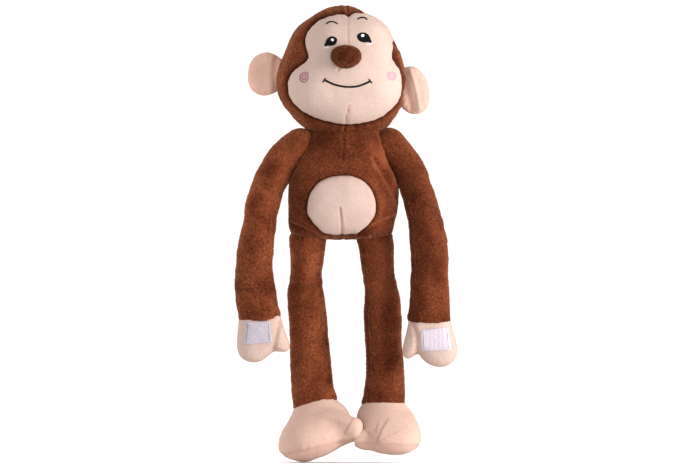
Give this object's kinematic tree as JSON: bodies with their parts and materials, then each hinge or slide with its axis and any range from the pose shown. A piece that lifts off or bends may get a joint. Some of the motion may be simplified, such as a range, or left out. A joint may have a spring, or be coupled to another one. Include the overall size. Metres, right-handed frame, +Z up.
{
  "type": "stuffed monkey",
  "caption": "Long-limbed stuffed monkey: plush head with a velour face, round ears, limp arms with fastener patches on the palms, limp legs and slipper feet.",
  "frame": {"origin": "centre of the toy's bounding box at its lowest point, the sole of the right foot", "axes": "+Z up from the feet to the crown, -Y the way the face looks, +X the toy's own left"},
  "size_m": [0.2196, 0.1196, 0.4569],
  "materials": {
    "brown_plush": "short-pile brown plush with brushed patches",
    "peach_velour": "short peach velour",
    "polyester_filling": "loose white polyester fibre",
    "black_thread": "satin-stitched black thread",
    "white_thread": "satin-stitched white thread",
    "pink_thread": "satin-stitched pink thread",
    "fastener_tape": "pale lilac hook-and-loop tape"
  },
  "bodies": {
    "torso": {"belly_patch": "peach_velour", "torso_back": "brown_plush", "torso_filling": "polyester_filling", "torso_front": "brown_plush"},
    "neck": {"neck_filling": "polyester_filling"},
    "head": {"face_panel": "peach_velour", "head_cover_left": "brown_plush", "head_cover_right": "brown_plush", "head_filling": "polyester_filling", "left_brow": "black_thread", "left_cheek_spiral": "pink_thread", "left_eye": "black_thread", "left_eye_highlight": "white_thread", "mouth": "black_thread", "nose": "brown_plush", "right_brow": "black_thread", "right_cheek_spiral": "pink_thread", "right_eye": "black_thread", "right_eye_highlight": "white_thread"},
    "right_ear": {"right_ear_back": "peach_velour", "right_ear_front": "peach_velour"},
    "left_ear": {"left_ear_back": "peach_velour", "left_ear_front": "peach_velour"},
    "right_shoulder": {"right_sleeve_cap": "brown_plush"},
    "right_upper_arm": {"right_upper_arm_filling": "polyester_filling", "right_upper_sleeve": "brown_plush"},
    "right_forearm": {"right_forearm_filling": "polyester_filling", "right_lower_sleeve": "brown_plush"},
    "right_hand": {"right_hand_back_panel": "peach_velour", "right_hand_filling": "polyester_filling", "right_palm_loop_patch": "fastener_tape", "right_palm_panel": "peach_velour"},
    "right_hip": {"right_leg_cap": "brown_plush"},
    "right_thigh": {"right_thigh_cover": "brown_plush", "right_thigh_filling": "polyester_filling"},
    "right_shin": {"right_shin_cover": "brown_plush", "right_shin_filling": "polyester_filling"},
    "right_foot": {"right_foot_filling": "polyester_filling", "right_foot_sole": "peach_velour", "right_foot_upper": "peach_velour"},
    "left_shoulder": {"left_sleeve_cap": "brown_plush"},
    "left_upper_arm": {"left_upper_arm_filling": "polyester_filling", "left_upper_sleeve": "brown_plush"},
    "left_forearm": {"left_forearm_filling": "polyester_filling", "left_lower_sleeve": "brown_plush"},
    "left_hand": {"left_hand_back_panel": "peach_velour", "left_hand_filling": "polyester_filling", "left_palm_hook_patch": "fastener_tape", "left_palm_panel": "peach_velour"},
    "left_hip": {"left_leg_cap": "brown_plush"},
    "left_thigh": {"left_thigh_cover": "brown_plush", "left_thigh_filling": "polyester_filling"},
    "left_shin": {"left_shin_cover": "brown_plush", "left_shin_filling": "polyester_filling"},
    "left_foot": {"left_foot_filling": "polyester_filling", "left_foot_sole": "peach_velour", "left_foot_upper": "peach_velour"}
  },
  "joints": [
    {"name": "neck_turn", "type": "hinge", "parent": "torso", "child": "neck", "pos_m": [-0.00042, 0.01022, 0.3314], "axis": [0, 0, 1], "range_deg": [-60, 60]},
    {"name": "neck_nod", "type": "hinge", "parent": "neck", "child": "head", "pos_m": [-0.00042, 0.01022, 0.3314], "axis": [1, 0, 0], "range_deg": [-25, 35]},
    {"name": "right_ear_fold", "type": "hinge", "parent": "head", "child": "right_ear", "pos_m": [-0.07042, 0.01222, 0.3874], "axis": [0, 0, 1], "range_deg": [-45, 60]},
    {"name": "left_ear_fold", "type": "hinge", "parent": "head", "child": "left_ear", "pos_m": [0.06058, 0.01222, 0.3724], "axis": [0, 0, -1], "range_deg": [-45, 60]},
    {"name": "right_shoulder_swing", "type": "hinge", "parent": "torso", "child": "right_shoulder", "pos_m": [-0.04692, 0.00422, 0.3164], "axis": [-1, 0, 0], "range_deg": [-50, 90]},
    {"name": "right_shoulder_raise", "type": "hinge", "parent": "right_shoulder", "child": "right_upper_arm", "pos_m": [-0.04692, 0.00422, 0.3164], "axis": [0, 1, 0], "range_deg": [0, 75]},
    {"name": "right_elbow_bend", "type": "hinge", "parent": "right_upper_arm", "child": "right_forearm", "pos_m": [-0.08642, -0.00778, 0.2394], "axis": [-1, 0, 0], "range_deg": [-15, 100]},
    {"name": "right_wrist_bend", "type": "hinge", "parent": "right_forearm", "child": "right_hand", "pos_m": [-0.08792, -0.02178, 0.1454], "axis": [-1, 0, 0], "range_deg": [-50, 60]},
    {"name": "right_hip_swing", "type": "hinge", "parent": "torso", "child": "right_hip", "pos_m": [-0.03942, 0.01322, 0.2204], "axis": [-1, 0, 0], "range_deg": [-35, 90]},
    {"name": "right_hip_spread", "type": "hinge", "parent": "right_hip", "child": "right_thigh", "pos_m": [-0.03942, 0.01322, 0.2204], "axis": [0, 1, 0], "range_deg": [0, 35]},
    {"name": "right_knee_bend", "type": "hinge", "parent": "right_thigh", "child": "right_shin", "pos_m": [-0.03992, 0.01422, 0.1444], "axis": [1, 0, 0], "range_deg": [-10, 100]},
    {"name": "right_ankle_bend", "type": "hinge", "parent": "right_shin", "child": "right_foot", "pos_m": [-0.03242, 0.01422, 0.0594], "axis": [-1, 0, 0], "range_deg": [-40, 40]},
    {"name": "left_shoulder_swing", "type": "hinge", "parent": "torso", "child": "left_shoulder", "pos_m": [0.04208, 0.00422, 0.3164], "axis": [-1, 0, 0], "range_deg": [-50, 90]},
    {"name": "left_shoulder_raise", "type": "hinge", "parent": "left_shoulder", "child": "left_upper_arm", "pos_m": [0.04208, 0.00422, 0.3164], "axis": [0, -1, 0], "range_deg": [0, 75]},
    {"name": "left_elbow_bend", "type": "hinge", "parent": "left_upper_arm", "child": "left_forearm", "pos_m": [0.07708, -0.00678, 0.2434], "axis": [-1, 0, 0], "range_deg": [-15, 100]},
    {"name": "left_wrist_bend", "type": "hinge", "parent": "left_forearm", "child": "left_hand", "pos_m": [0.08208, -0.02178, 0.1434], "axis": [-1, 0, 0], "range_deg": [-50, 60]},
    {"name": "left_hip_swing", "type": "hinge", "parent": "torso", "child": "left_hip", "pos_m": [0.02808, 0.01322, 0.2204], "axis": [-1, 0, 0], "range_deg": [-35, 90]},
    {"name": "left_hip_spread", "type": "hinge", "parent": "left_hip", "child": "left_thigh", "pos_m": [0.02808, 0.01322, 0.2204], "axis": [0, -1, 0], "range_deg": [0, 35]},
    {"name": "left_knee_bend", "type": "hinge", "parent": "left_thigh", "child": "left_shin", "pos_m": [0.03608, 0.01422, 0.1444], "axis": [1, 0, 0], "range_deg": [-10, 100]},
    {"name": "left_ankle_bend", "type": "hinge", "parent": "left_shin", "child": "left_foot", "pos_m": [0.03708, 0.01422, 0.0594], "axis": [-1, 0, 0], "range_deg": [-40, 40]}
  ]
}
